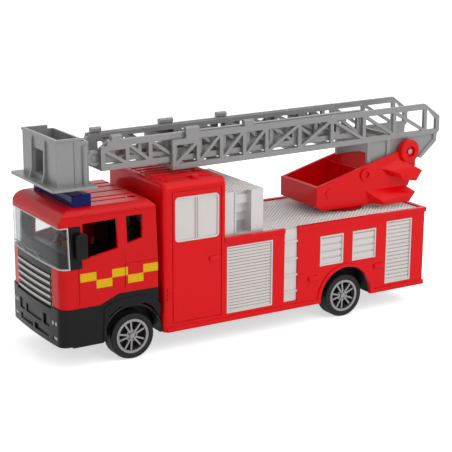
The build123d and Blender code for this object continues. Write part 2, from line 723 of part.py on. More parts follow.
def dashboard():
    """Dark dashboard shelf under the screen."""
    width = half - cab_wall - 0.3
    shape = [(screen_rear - 9.5, 44.0), (cab_front - 4.6, 44.0), (cab_front - 4.6, 46.0),
             (screen_rear - 3.0, 49.0), (screen_rear - 9.5, 48.0)]
    shelf = side_shape(shape, -width, width)
    shelf &= cab_block(cab_wall + 0.25, skirt_front_top)
    legs = block(screen_rear - 9.5, screen_rear - 7.5, -15, 15, base_level + base_thickness, 44.2)
    boss = post(cab_screw, 0, 3.2, 14.2, 28) - post(cab_screw, 0, screw_shank_radius, 14, 26)
    web = block(screen_rear - 7.6, cab_screw - 2.9, -1.2, 1.2, 14.2, 28)
    return shelf + legs + boss + web


def steering_wheel():
    """Grey steering wheel and its column, on the vehicle's right."""
    ring = Torus(4.2, 0.6) + Cylinder(1.0, 1.2)
    for angle in (90, 210, 330):
        ring += Rot(0, 0, angle) * block(0.6, 4.2, -0.4, 0.4, -0.35, 0.35)
    column = Pos(0, 0, -2.6) * Cylinder(0.7, 5.0)
    placed = Pos(180.0, -13.0, 51.6) * Rot(0, -38, 0) * (ring + column)
    cut = block(screen_rear - 9.5, cab_front, -half, half, 30, 48.0)
    return placed - cut


def seats():
    """One moulding: floor box, two seat cushions and backs with head rests."""
    floor_z = base_level + base_thickness
    bench = block(cab_rear + 3, 172, -20, 20, 33, 38)
    wall = block(cab_rear + 3, cab_rear + 6.5, -14, 14, floor_z, 40)
    seat = bench + wall
    for y in (-12.5, 12.5):
        cushion = block(cab_rear + 5, 174.0, y - 7, y + 7, 37.5, 42)
        cushion = fillet(cushion.edges().group_by(Axis.Z)[-1], 1.2)
        back = block(cab_rear + 4, cab_rear + 8.5, y - 7, y + 7, 38, 58)
        back = fillet(back.edges().filter_by(Axis.X), 1.6)
        head = block(cab_rear + 4.6, cab_rear + 8.2, y - 4, y + 4, 57.5, 63.5)
        head = fillet(head.edges().filter_by(Axis.X), 1.4)
        seat += cushion + back + head
    return seat


# ---------------------------------------------------------------- turret
turret_front = 58.0
turret_floor = 52.4
boss_radius = 5.8
boss_out = turret_width / 2 + 1.9


def wing(root, tip, y_root, y_tip):
    """A flared flap on the turret side, from a root outline to a tip outline."""
    faces = []
    for outline, y in ((root, y_root), (tip, y_tip)):
        wire = Plane.XZ * Polyline(*outline, close=True)
        faces.append(Pos(0, y, 0) * make_face(wire))
    return loft(faces, ruled=True)


def turret():
    """Red turret: open tray that rises to the ladder pivot, with flared flaps."""
    h = turret_width / 2
    w = turret_wall
    side = [(turret_front, 54.2), (turret_front, 63.5), (32.6, 70.4), (8.0, 76.4), (-2.2, 76.4),
            (-2.2, 68.6), (2.0, 58.6), (20.0, turret_floor - 0.6), (40.0, turret_floor - 0.6),
            (54.0, turret_floor - 0.6)]
    tray = side_shape(side, -h, h)
    inner = [(turret_front - w, turret_floor + w), (turret_front - w, 66), (turret_front - w, 100),
             (-20, 100), (-20, 60.0), (4.6, 60.0), (20.6, turret_floor + w)]
    tray -= side_shape(inner, -h + w, h - w)
    # round the lower front edges
    low = tray.edges().filter_by(Axis.Y).filter_by_position(Axis.Z, 51.7, 52.0)
    tray = fillet(low.filter_by_position(Axis.X, 53, 55), 1.5)
    # cross bar inside the tray
    tray += block(29.0, 31.0, -h + w - 0.1, h - w + 0.1, 66.8, 69.4)
    # pivot bosses, ring bosses and small discs on the sides
    boss = rod(pivot_station, pivot_height, boss_radius, h - w, boss_out)
    boss = fillet(boss.edges().group_by(Axis.Y)[-1], 0.9)
    boss -= rod(pivot_station, pivot_height, 2.7, boss_out - 1.3, boss_out + 1)
    ring = rod(29.0, 67.0, 3.1, h - 0.3, h + 0.9) - rod(29.0, 67.0, 1.7, h + 0.1, h + 2)
    disc = rod(50.2, 59.9, 2.4, h - 0.3, h + 0.5)
    tray += both_sides(boss + ring + disc)
    lower = wing([(29.3, 59.3), (27.0, 52.6), (6.0, 54.0), (4.0, 59.0)],
                 [(21.4, 53.6), (21.2, 51.8), (4.8, 51.6), (0.8, 56.2)], h - 0.4, h + 4.8)
    upper = wing([(19.8, 69.2), (16.5, 66.2), (4.0, 63.4), (8.4, 73.6)],
                 [(11.5, 66.6), (9.0, 63.0), (0.6, 61.7), (-3.0, 66.7)], h - 0.4, h + 4.8)
    tray += both_sides(lower + upper)
    # turntable disc and the post that turns in the deck
    tray += post(turntable_station, 0, 12.0, deck_height + 0.3, turret_floor)
    tray += post(turntable_station, 0, turntable_post_diameter / 2, deck_height - 4.6,
                 turret_floor)
    tray -= post(turntable_station, 0, screw_shank_radius, deck_height - 6, turret_floor - 0.5)
    # bore for the pivot pin
    tray -= rod(pivot_station, pivot_height, pivot_pin_diameter / 2 + running_gap, -h - 5, h + 5)
    return tray


def turntable_washer():
    washer = post(turntable_station, 0, turntable_post_diameter / 2 + 2.0, deck_height - 5.6,
                  deck_height - 4.6)
    return washer - post(turntable_station, 0, screw_shank_radius + 0.1, deck_height - 7,
                         deck_height - 4)


def turntable_screw():
    z0 = deck_height - 5.6
    head = post(turntable_station, 0, 2.3, z0 - 1.5, z0)
    head -= block(turntable_station - 1.6, turntable_station + 1.6, -0.3, 0.3, z0 - 2, z0 - 0.8)
    head -= block(turntable_station - 0.3, turntable_station + 0.3, -1.6, 1.6, z0 - 2, z0 - 0.8)
    return head + post(turntable_station, 0, screw_shank_radius - press_gap, z0 - 0.5,
                       turret_floor - 0.8)


# ---------------------------------------------------------------- ladder
post_width = 1.9
brace_width = 1.5


def bay_holes(x0, x1, z0, z1, top_forward):
    """The two triangles that one braced bay leaves open."""
    a = x0 + post_width / 2
    b = x1 - post_width / 2
    slant = hypot(b - a, z1 - z0)
    dz = brace_width / 2 * slant / (b - a)
    dx = brace_width / 2 * slant / (z1 - z0)
    if top_forward:
        first = [(a, z0 + dz), (a, z1), (b - dx, z1)]
        second = [(a + dx, z0), (b, z0), (b, z1 - dz)]
    else:
        first = [(b, z0 + dz), (b, z1), (a + dx, z1)]
        second = [(b - dx, z0), (a, z0), (a, z1 - dz)]
    return [first, second]


def flat_face(points):
    return make_face(Plane.XZ * Polyline(*points, close=True))


def truss_side(outline, holes, y0, y1):
    """One side of a ladder: an outline with openings, from y0 to y1."""
    face = flat_face(outline)
    for hole in holes:
        face -= flat_face(hole)
    return Pos(0, y0, 0) * extrude(face, y1 - y0, dir=(0, 1, 0))


main_posts = [-9.6, 10.0, 28.7, 48.0, 66.8, 85.4, 97.6, 110.0, 122.2, 134.6]
brace_turn = 48.0            # behind this post the braces lean the other way
mid_posts = [31.0, 43.4, 56.2, 69.0, 81.8, 94.6, 107.4, 120.2, 133.0, 145.6, 157.0, 168.8]
top_posts = [38.0, 52.0, 66.0, 80.0, 94.0, 108.0, 122.0, 136.0, 150.0, 163.0]
main_top = main_ladder_bottom + main_ladder_height
main_half = main_ladder_width / 2
mid_half = main_half - ladder_side - slide_gap
mid_bottom = main_ladder_bottom + floor_rail + 0.5 + slide_gap
mid_top = mid_bottom + mid_ladder_height
top_half = mid_half - ladder_side - slide_gap
top_bottom = mid_bottom + floor_rail + slide_gap
top_top = top_bottom + top_ladder_height
main_lugs = [(125.0, 7.0), (95.0, 5.2)]     # station and length of each lug
mid_lug = (162.0, 5.0)
hinge_pin_radius = 1.25
pin_recess = 0.7             # the hinge pin ends this far inside the ladder sides
ear_radius = 2.9             # ears on the platform that turn on the pin
ear_out = top_half - ladder_side - 0.25
ear_in = ear_out - 2.0


def rungs(stations, half_width, z0, thickness):
    """Square rungs that join the two sides of a section."""
    bars = None
    for x in stations:
        bar = block(x - 0.9, x + 0.9, -half_width, half_width, z0, z0 + thickness)
        bars = bar if bars is None else bars + bar
    return laid(bars)


def guide_lug(x, length, half_width, z_base, z_lip):
    """A lug on a top rail that holds the next section down."""
    x0 = x - length / 2
    x1 = x + length / 2
    lug = block(x0, x1, half_width - ladder_side - 1.0, half_width, z_lip, z_lip + 2.0)
    lug = fillet(lug.edges().filter_by(Axis.X).group_by(Axis.Z)[-1], 0.8)
    lug += block(x0, x1, half_width - ladder_side, half_width, z_base - 0.5, z_lip + 0.3)
    return lug


def main_ladder_side():
    """Left side of the outer section."""
    b = main_ladder_bottom
    t = main_top
    rear = main_ladder_rear
    front = main_ladder_front
    outline = [(rear, b + 1.6), (rear, b + 9.0), (rear + 9.4, t), (front - 7.5, t),
               (front - 6.9, t - 2.2), (front, t - 2.4), (front, b), (rear + 1.5, b)]
    holes = []
    z0 = b + floor_rail
    z1 = t - top_rail
    for x0, x1 in zip(main_posts[:-1], main_posts[1:]):
        top_z = z1 if x1 < 130 else z1 - 2.0
        holes += bay_holes(x0, x1, z0, top_z, top_forward=x0 < brace_turn - 1)
    # the open bay at the rounded rear end
    holes.append([(rear + 2.4, z0), (main_posts[0] - post_width / 2, z0),
                  (main_posts[0] - post_width / 2, z1 - 0.2), (rear + 6.4, z1 - 1.0),
                  (rear + 2.4, b + 8.0)])
    side = truss_side(outline, holes, main_half - ladder_side, main_half)
    for x, length in main_lugs:
        side += guide_lug(x, length, main_half, t, mid_top + slide_gap)
    return laid(side)


def ladder_bracket():
    """Left plate that hangs under the outer section and turns on the pivot pin."""
    b = main_ladder_bottom
    y1 = main_half
    y0 = y1 - ladder_side
    web = [(26.3, b), (26.3, 72.7), (13.0, 72.7), (8.0, 71.0), (-6.8, 71.6), (-16.2, 79.2),
           (-16.2, b)]
    plate = side_shape(web, y0, y1 - 0.7)
    for x0, x1 in ((24.4, 26.6), (12.6, 14.6)):
        plate += block(x0, x1, y0, y1, 72.4, b)
    tail = [(-7.4, 71.0), (-16.9, 78.8), (-17.2, b), (-15.0, b), (-14.9, 79.8), (-6.0, 72.6)]
    plate += side_shape(tail, y0, y1)
    plate += rod(pivot_station, pivot_height, 4.4, y0, y1)
    plate -= rod(pivot_station, pivot_height, pivot_pin_diameter / 2 + running_gap, -20, 20)
    return laid(plate)


def ladder_pivot_pin():
    """Steel pin that the ladder rises about."""
    return rod(pivot_station, pivot_height, pivot_pin_diameter / 2, -boss_out + 0.5,
               boss_out - 0.5)


def mid_ladder_side():
    """Left side of the middle section, which slides out of the outer one."""
    b, t = mid_bottom, mid_top
    outline = [(mid_ladder_rear, b), (mid_ladder_rear, t), (mid_ladder_front - 3.6, t),
               (mid_ladder_front - 3.0, t - 2.2), (mid_ladder_front, t - 2.4),
               (mid_ladder_front, b)]
    holes = []
    for x0, x1 in zip(mid_posts[:-1], mid_posts[1:]):
        top_z = t - top_rail if x1 < 165 else t - top_rail - 1.6
        holes += bay_holes(x0, x1, b + floor_rail, top_z, top_forward=True)
    side = truss_side(outline, holes, mid_half - ladder_side, mid_half)
    side += guide_lug(mid_lug[0], mid_lug[1], mid_half, t, max(t, top_top) + slide_gap)
    return laid(side)


def top_ladder_side():
    """Left side of the inner section, which carries the platform hinge at its tip."""
    b, t = top_bottom, top_top
    outline = [(top_ladder_rear, b), (top_ladder_rear, t), (top_ladder_front - 3.2, t),
               (top_ladder_front + 1.6, t - 3.4), (top_ladder_front + 1.6, b)]
    holes = []
    for x0, x1 in zip(top_posts[:-1], top_posts[1:]):
        holes += bay_holes(x0, x1, b + floor_rail - 0.4, t - top_rail + 0.6, top_forward=True)
    y1 = top_half
    y0 = y1 - ladder_side
    side = truss_side(outline, holes, y0, y1)
    side += rod(hinge_station, hinge_height, 3.4, y0, y1)
    side -= rod(hinge_station, hinge_height, 2.2, y1 - pin_recess, y1 + 1)
    side -= rod(hinge_station, hinge_height, hinge_pin_radius + running_gap, -20, 20)
    return laid(side)




def hinge_place():
    """Centre of the platform hinge on the parked ladder."""
    dx = hinge_station - pivot_station
    dz = hinge_height - pivot_height
    return (pivot_station + dx * cos(tilt) + dz * sin(tilt),
            pivot_height - dx * sin(tilt) + dz * cos(tilt))


def platform():
    """Grey rescue platform: floor plate, walls open at the top, gate in front."""
    x0 = platform_station
    x1 = x0 + platform_length
    hw = platform_width / 2
    z0 = platform_bottom
    z1 = z0 + platform_height
    plate_x0 = x1 + 4.1 - floor_plate_length
    plate = block(plate_x0, x1 + 4.1, -floor_plate_width / 2, floor_plate_width / 2, z0, z0 + 1.2)
    plate = chamfer(plate.edges().filter_by(Axis.Z).filter_by_position(
        Axis.X, x1 + 4, x1 + 4.2), 0.5)
    w = platform_wall
    tub = block(x0, x1, -hw, hw, z0 + 1.1, z1)
    tub -= block(x0 + w, x1 - w, -hw + w, hw - w, z0 + 1.2, z1 + 1)
    rim = block(x0 - 0.4, x1 + 0.4, -hw - 0.4, hw + 0.4, z1 - 1.1, z1)
    rim -= block(x0 + w, x1 - w, -hw + w, hw - w, z1 - 2, z1 + 1)
    solid = plate + tub + rim
    # gate opening with a post each side, flared at the foot
    gate = 6.1
    solid -= block(x1 - w - 1, x1 + 1, -gate, gate, z0 + 3.4, z0 + 14.6)
    jamb = [(x1 - 0.2, z0 + 1.1), (x1 + 2.2, z0 + 1.1), (x1 + 1.0, z0 + 5.0), (x1 + 0.7, z1 - 3.0),
            (x1 - 0.2, z1 - 1.2)]
    solid += both_sides(side_shape(jamb, gate + 0.1, gate + 1.5))
    # side ribs and the round corner posts at the rear
    rib = block(x0 + 6.2, x0 + 6.8, hw - 0.2, hw + 0.35, z0 + 1.1, z1 - 1.0)
    corner = post(x0 + 1.9, hw + 0.1, 1.35, z0 + 1.1, z1 - 3.4)
    solid += both_sides(rib + corner)
    # step down of the rim towards the rear
    solid -= block(x0 - 1, x0 + 3.4, -hw - 1, hw + 1, z1 - 1.6, z1 + 1)
    # hinge ears on the rear wall
    hx, hz = hinge_place()
    ear = side_shape([(x0 + 0.3, hz - 4.6), (x0 + 0.3, hz + 4.2), (hx, hz + ear_radius),
                      (hx, hz - ear_radius)], ear_in, ear_out)
    ear += rod(hx, hz, ear_radius, ear_in, ear_out)
    solid += both_sides(ear)
    solid -= rod(hx, hz, hinge_pin_radius + running_gap, -15, 15)
    return solid


def platform_pin():
    """Steel pin of the platform hinge."""
    hx, hz = hinge_place()
    return rod(hx, hz, hinge_pin_radius, -top_half + pin_recess, top_half - pin_recess)


# ---------------------------------------------------------------- all pieces
def at_wheel(solid, x, left):
    """Stands a wheel piece on its axle, mirrored for the right side."""
    placed = Pos(x, wheel_out, wheel_radius) * solid
    return placed if left else mirror(placed, Plane.XZ)


def other_side(solid):
    return mirror(solid, Plane.XZ)


def pieces():
    parts = {
        "chassis": chassis(),
        "base_screws": base_screws(),
        "body_shell": body_shell(),
        "deck_insert": deck_insert(),
        "tail_shutter": tail_shutter(),
        "cab_shell": cab_shell(),
        "cab_skirt": cab_skirt(),
        "grille": grille(),
        "windscreen": windscreen(),
        "light_bar": light_bar(),
        "dashboard": dashboard(),
        "steering_wheel": steering_wheel(),
        "seats": seats(),
        "turret": turret(),
        "turntable_washer": turntable_washer(),
        "turntable_screw": turntable_screw(),
        "main_ladder_rungs": rungs(main_posts[1:], main_half - ladder_side,
                                   main_ladder_bottom, floor_rail - 0.4),
        "ladder_pivot_pin": ladder_pivot_pin(),
        "mid_ladder_rungs": rungs(mid_posts, mid_half - ladder_side, mid_bottom,
                                  floor_rail - 0.4),
        "top_ladder_rungs": rungs(top_posts, top_half - ladder_side, top_bottom,
                                  floor_rail - 0.6),
        "platform": platform(),
        "platform_pin": platform_pin(),
    }
    pairs = {
        "ladder_strip": ladder_strip(),
        "crew_window": window_insert(),
        "mirror": mirror_unit(),
        "main_ladder": main_ladder_side(),
        "main_ladder_bracket": ladder_bracket(),
        "mid_ladder": mid_ladder_side(),
        "top_ladder": top_ladder_side(),
    }
    for name, x0, x1, z0, z1, count in side_panels:
        pairs[name] = slatted_panel(x0, x1, z0, z1, count)
    for name, solid in pairs.items():
        parts[name + "_left"] = solid
        parts[name + "_right"] = other_side(solid)
    parts["lamp_unit_left"] = lamp_unit(1)
    parts["lamp_unit_right"] = lamp_unit(-1)
    rubber = tyre()
    cap = hub_cap()
    for where, x in (("front", front_axle_station), ("rear", rear_axle_station)):
        parts[where + "_axle"] = Pos(x, 0, wheel_radius) * axle()
        for side, left in (("left", True), ("right", False)):
            parts[where + "_" + side + "_tyre"] = at_wheel(rubber, x, left)
            parts[where + "_" + side + "_hub_cap"] = at_wheel(cap, x, left)
    return parts


os.makedirs("parts", exist_ok=True)
for node, solid in pieces().items():
    export_step(Pos(-middle, 0, 0) * solid, "parts/" + node + ".step")
    print(node, round(solid.volume, 1))
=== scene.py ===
import math

import bmesh
import bpy
from mathutils import Matrix, Vector
from mathutils.bvhtree import BVHTree


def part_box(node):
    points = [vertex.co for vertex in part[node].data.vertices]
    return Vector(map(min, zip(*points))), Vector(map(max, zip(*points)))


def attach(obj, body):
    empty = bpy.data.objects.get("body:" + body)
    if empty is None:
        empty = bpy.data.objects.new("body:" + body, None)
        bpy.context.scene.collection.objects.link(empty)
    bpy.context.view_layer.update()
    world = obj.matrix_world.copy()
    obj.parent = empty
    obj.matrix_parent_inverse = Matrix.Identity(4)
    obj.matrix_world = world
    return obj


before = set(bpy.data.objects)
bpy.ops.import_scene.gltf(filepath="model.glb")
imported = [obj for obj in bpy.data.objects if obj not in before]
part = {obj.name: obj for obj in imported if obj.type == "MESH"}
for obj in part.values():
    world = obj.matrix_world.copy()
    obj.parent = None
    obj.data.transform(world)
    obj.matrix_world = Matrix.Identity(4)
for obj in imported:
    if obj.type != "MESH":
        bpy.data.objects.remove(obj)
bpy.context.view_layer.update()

# ------------------------------------------------------------------ base
# The base is one black moulding: floor, wheel wells, axle bearings and screw
# towers. It is injection-moulded polypropylene with a fine satin grain from the
# tool, screwed up into the red shells from below.

MM = 0.001
body_middle = 90.314     # the frame's origin, in mm ahead of the body's rear face


def station(distance):
    """Frame X of a place given in mm ahead of the body's rear face."""
    return (distance - body_middle) * MM


def linear(code):
    """A colour written as sRGB hex, as linear values with alpha."""
    values = [int(code[i:i + 2], 16) / 255 for i in (1, 3, 5)]
    return [v / 12.92 if v <= 0.04045 else ((v + 0.055) / 1.055) ** 2.4 for v in values] + [1.0]


def node(tree, kind, settings=None, **links):
    """Adds one shader node; settings are properties, links are sockets or values."""
    made = tree.nodes.new(kind)
    for key, value in (settings or {}).items():
        setattr(made, key, value)
    for key, value in links.items():
        name = int(key[1:]) if key[1:].isdigit() else key.replace("_", " ")
        socket = made.inputs[name]
        if isinstance(value, bpy.types.NodeSocket):
            tree.links.new(value, socket)
        else:
            socket.default_value = value
    return made


def blank(name):
    """A new material with its tree emptied to one shader and its output."""
    material = bpy.data.materials.new(name)
    material.use_nodes = True
    tree = material.node_tree
    tree.nodes.clear()
    shader = node(tree, "ShaderNodeBsdfPrincipled")
    node(tree, "ShaderNodeOutputMaterial", Surface=shader.outputs[0])
    return material, tree, shader


def moulded(name, dark, light, roughness, spread, grain_mm, grain_depth, edge_mm=0.22):
    """Moulded plastic: slight flow marks in colour and gloss, tool grain, soft edges."""
    material, tree, shader = blank(name)
    place = node(tree, "ShaderNodeTexCoord").outputs["Object"]
    flow = node(tree, "ShaderNodeTexNoise", Vector=place, Scale=1 / (18 * MM), Detail=3.0)
    grain = node(tree, "ShaderNodeTexNoise", Vector=place, Scale=1 / (grain_mm * MM), Detail=2.0)
    tint = node(tree, "ShaderNodeMix", {"data_type": "RGBA"}, _0=flow.outputs[0],
                _6=linear(dark), _7=linear(light))
    tree.links.new(tint.outputs[2], shader.inputs["Base Color"])
    gloss = node(tree, "ShaderNodeMapRange", _0=flow.outputs[0], _1=0.3, _2=0.7,
                 _3=roughness - spread, _4=roughness + spread)
    tree.links.new(gloss.outputs[0], shader.inputs["Roughness"])
    edge = node(tree, "ShaderNodeBevel", {"samples": 4}, Radius=edge_mm * MM)
    bump = node(tree, "ShaderNodeBump", Height=grain.outputs[0], Distance=grain_depth * MM,
                Strength=1.0, Normal=edge.outputs[0])
    tree.links.new(bump.outputs[0], shader.inputs["Normal"])
    return material, tree, shader


def dress(material, *names):
    """Gives CAD nodes their finish in place of the one they came with."""
    for name in names:
        piece = part[name]
        piece.data.materials.clear()
        piece.data.materials.append(material)


# satin polypropylene: near black, with a soft wide highlight
black_polypropylene, _, shader = moulded("black_polypropylene", "#0E0D0E", "#151415", 0.42, 0.05,
                                         0.35, 0.010)
shader.inputs["IOR"].default_value = 1.49
shader.inputs["Specular IOR Level"].default_value = 0.22
dress(black_polypropylene, "chassis")


# ------------------------------------------------------------------ wheels
# Each axle is straight steel wire pressed into two black wheels. The tyre and
# core are one soft black moulding, and a silver-plated cap is pressed into it.


def drawn_steel():
    """Drawn steel wire: grey, with lines 0.11 mm apart and 2.5 mm long along its length."""
    material, tree, shader = blank("drawn_steel")
    place = node(tree, "ShaderNodeTexCoord").outputs["Object"]
    stretch = node(tree, "ShaderNodeMapping", Vector=place, Scale=(9000, 400, 9000))
    lines = node(tree, "ShaderNodeTexNoise", Vector=stretch.outputs[0], Scale=1.0, Detail=2.0)
    gloss = node(tree, "ShaderNodeMapRange", _0=lines.outputs[0], _3=0.22, _4=0.38)
    tree.links.new(gloss.outputs[0], shader.inputs["Roughness"])
    shader.inputs["Base Color"].default_value = linear("#8E8C89")
    shader.inputs["Metallic"].default_value = 1.0
    return material


steel = drawn_steel()
dress(steel, "front_axle", "rear_axle", "base_screws", "turntable_screw", "turntable_washer",
      "ladder_pivot_pin")

# soft vinyl tyre: deep grey-black, dull, with a faint dusty bloom
tyre_vinyl, _, shader = moulded("tyre_vinyl", "#0F0F10", "#181819", 0.55, 0.06, 0.25, 0.014, 0.35)
shader.inputs["Specular IOR Level"].default_value = 0.25
# vacuum-plated plastic: silver, a little soft, not a mirror
plated, _, shader = moulded("plated_plastic", "#7F7F80", "#939394", 0.28, 0.06, 0.8, 0.004, 0.16)
shader.inputs["Metallic"].default_value = 0.75
for end in ("front", "rear"):
    for side in ("left", "right"):
        dress(tyre_vinyl, f"{end}_{side}_tyre")
        dress(plated, f"{end}_{side}_hub_cap")


# ------------------------------------------------------------------ red body
# The body with its crew cabin is one red ABS moulding, polished in the tool, so
# it is glossy, with crisp doors and lips moulded in.

red_abs, _, shader = moulded("red_abs", "#DC0510", "#E4070F", 0.22, 0.04, 6.0, 0.010)
shader.inputs["IOR"].default_value = 1.54
shader.inputs["Specular IOR Level"].default_value = 0.13
dress(red_abs, "body_shell")


# ------------------------------------------------------------------ silver deck
# One silver-coloured moulding drops into the body: deck, steps box and ledges.
# It is ABS with aluminium flake, with a tread pattern cast into its flat tops.

silver_abs, _, shader = moulded("silver_flake_abs", "#C4C2C0", "#D2D0CE", 0.34, 0.04, 0.18, 0.012)
shader.inputs["Metallic"].default_value = 0.25
dress(silver_abs, "deck_insert")


def solid_piece(name, mesh_maker, material, body, flat=True):
    """Turns a bmesh into a finished piece that rides on a body."""
    mesh = bpy.data.meshes.new(name)
    bm = bmesh.new()
    mesh_maker(bm)
    bmesh.ops.recalc_face_normals(bm, faces=bm.faces)
    bm.to_mesh(mesh)
    bm.free()
    if not flat:
        mesh.shade_smooth()
    piece = bpy.data.objects.new(name, mesh)
    bpy.context.scene.collection.objects.link(piece)
    mesh.materials.append(material)
    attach(piece, body)


tread_length = 1.25 * MM
tread_breadth = 0.46 * MM
tread_rise = 0.30 * MM
tread_pitch = 1.05 * MM
tread_sink = 0.05 * MM   # depth of each foot below the deck's surface
tread_taper = 0.45       # size of a lozenge's top against its foot


def tread(x0, x1, y0, y1, z, keep_out=()):
    """Maker of small raised lozenges, turned alternately left and right, clear of round places."""
    def make(bm):
        columns = int((x1 - x0) / tread_pitch)
        rows = int((y1 - y0) / tread_pitch)
        for i in range(columns):
            for j in range(rows):
                x = x0 + (i + 0.5) * (x1 - x0) / columns
                y = y0 + (j + 0.5) * (y1 - y0) / rows
                if any(math.hypot(x - cx, y - cy) < r for cx, cy, r in keep_out):
                    continue
                turn = math.radians(45 if (i + j) % 2 else -45)
                along = Vector((math.cos(turn), math.sin(turn), 0)) * tread_length / 2
                across = Vector((-math.sin(turn), math.cos(turn), 0)) * tread_breadth / 2
                centre = Vector((x, y, z))
                ring = [centre + along, centre + across, centre - along, centre - across]
                foot = [bm.verts.new(p - Vector((0, 0, tread_sink))) for p in ring]
                top = [bm.verts.new(centre + (p - centre) * tread_taper + Vector((0, 0, tread_rise)))
                       for p in ring]
                bm.faces.new(top)
                for k in range(4):
                    bm.faces.new((foot[k], foot[(k + 1) % 4], top[(k + 1) % 4], top[k]))
                bm.faces.new(foot[::-1])
    return make


deck_low, deck_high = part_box("deck_insert")
deck_top = 48.8 * MM
box_rear_x = station(94.3)
crew_rear_x = station(116.5)
box_half = 24.4 * MM
tread_margin = 0.5 * MM
turntable_x = station(34.0)
turntable_clear = 12.3 * MM
# the lozenges are the deck's own plastic, made lighter than the deck as painted highlight for the
# glints on their raised tops
tread_abs_painted_glint, _, shader = moulded("tread_flake_abs_painted_glint", "#D6D4D2", "#E2E0DE", 0.24, 0.03, 0.18, 0.006,
                               0.05)
shader.inputs["Metallic"].default_value = 0.6
solid_piece("deck_tread", tread(deck_low.x + tread_margin, box_rear_x - tread_margin,
                                -deck_high.y + tread_margin, deck_high.y - tread_margin, deck_top,
                                [(turntable_x, 0.0, turntable_clear + tread_length / 2)]),
            tread_abs_painted_glint, "vehicle")
solid_piece("steps_box_tread", tread(box_rear_x + tread_margin, crew_rear_x - tread_margin,
                                     -box_half + tread_margin, box_half - tread_margin,
                                     deck_high.z),
            tread_abs_painted_glint, "vehicle")


# ------------------------------------------------------------------ shutters and louvres
# Roller shutters and louvres are separate flat panels clipped into the red
# sides. They are ABS sprayed silver, so they are pale, even and softly glossy.

sprayed_silver, _, shader = moulded("sprayed_silver", "#C6C1BE", "#D4CFCC", 0.34, 0.05, 0.12, 0.006,
                                    0.14)
shader.inputs["Metallic"].default_value = 0.2
dress(sprayed_silver, "tail_shutter", *(f"{kind}_{side}" for side in ("left", "right") for kind in
      ("main_shutter", "front_louvre", "rear_louvre", "rear_shutter", "ladder_strip",
       "crew_window")))


# ------------------------------------------------------------------ tail lamps
# Two lamp clusters are pressed into the tail: one moulding of clear red
# polystyrene each, with fine upright ribs on the face.

lamp_low = 17.0 * MM
lamp_high = 27.0 * MM
lamp_near = 20.6 * MM
lamp_far = 25.4 * MM
lamp_proud = 0.55 * MM
lamp_soft = 0.35 * MM
lamp_set_in = 0.3 * MM   # depth of the lens below the red face
lamp_ribs = 6
rib_depth = 0.12 * MM
steps_per_rib = 4
lamp_red, _, shader = moulded("lamp_red_polystyrene", "#B4040A", "#C8060D", 0.16, 0.03, 3.0,
                              0.004)
shader.inputs["Specular IOR Level"].default_value = 0.15


def lens_block(sign):
    """Maker of a tail lamp: a softened plate whose face is ribbed up and down."""
    def make(bm):
        rear = station(0.0)
        columns = lamp_ribs * steps_per_rib
        rows = []
        for z, inset in ((lamp_low, 0.0), (lamp_low + lamp_soft, 1.0), (lamp_high - lamp_soft, 1.0),
                         (lamp_high, 0.0)):
            row = []
            for k in range(columns + 1):
                t = k / columns
                y = sign * (lamp_near + (lamp_far - lamp_near) * t)
                wave = rib_depth * abs(math.sin(math.pi * lamp_ribs * t))
                edge = 0.0 if k in (0, columns) else 1.0
                row.append(bm.verts.new((rear - (lamp_proud - wave) * inset * edge, y, z)))
            rows.append(row)
        for a, b in zip(rows[:-1], rows[1:]):
            for k in range(columns):
                bm.faces.new((a[k], a[k + 1], b[k + 1], b[k]))
        back = [[bm.verts.new(v.co + Vector((lamp_set_in, 0, 0))) for v in row]
                for row in (rows[0], rows[-1])]
        for k in range(columns):
            bm.faces.new((rows[0][k], back[0][k], back[0][k + 1], rows[0][k + 1]))
            bm.faces.new((rows[-1][k], rows[-1][k + 1], back[1][k + 1], back[1][k]))
            bm.faces.new((back[0][k], back[1][k], back[1][k + 1], back[0][k + 1]))
        for k in (0, columns):
            bm.faces.new([row[k] for row in rows] + [back[1][k], back[0][k]])
    return make


for name, sign in (("tail_lamp_left", 1), ("tail_lamp_right", -1)):
    solid_piece(name, lens_block(sign), lamp_red, "vehicle")


# ------------------------------------------------------------------ cab
# The cab is a second red ABS moulding, given a red a little darker than the body's
# as painted shade for how its faces meet the light. A chequered band is pad-printed on each
# side in opaque yellow ink, which is flat and a little duller than the plastic.

print_rear = station(150.7)
print_pitch = 7.56 * MM
print_middle = 39.75 * MM
print_height = 3.75 * MM
print_count = 5
side_on = 0.9            # share of Y in the direction that a printed face looks
whole_number = 0.1       # slack when two whole numbers are compared


def surface(tree):
    """X, Y and Z of where a point is in metres, and of the direction its face looks."""
    place = node(tree, "ShaderNodeTexCoord").outputs["Object"]
    facing = node(tree, "ShaderNodeNewGeometry").outputs["Normal"]
    return [node(tree, "ShaderNodeSeparateXYZ", _0=value).outputs for value in (place, facing)]


def cells(tree, value, start, size):
    """How many cells of a size lie between a start and a value."""
    away = node(tree, "ShaderNodeMath", {"operation": "SUBTRACT"}, _0=value, _1=start)
    return node(tree, "ShaderNodeMath", {"operation": "DIVIDE"}, _0=away.outputs[0],
                _1=size).outputs[0]


def where(tree, *limits):
    """One where each value is GREATER_THAN or LESS_THAN its bound, and nought elsewhere."""
    mask = 1.0
    for value, side, bound in limits:
        met = node(tree, "ShaderNodeMath", {"operation": side}, _0=value, _1=bound)
        mask = node(tree, "ShaderNodeMath", {"operation": "MULTIPLY"}, _0=met.outputs[0],
                    _1=mask).outputs[0]
    return mask


def paint(tree, shader, mask, colour):
    """Lays an even colour over a moulding where the mask is one."""
    coat = node(tree, "ShaderNodeMix", {"data_type": "RGBA"}, _0=mask,
                _6=shader.inputs["Base Color"].links[0].from_socket, _7=linear(colour))
    tree.links.new(coat.outputs[2], shader.inputs["Base Color"])
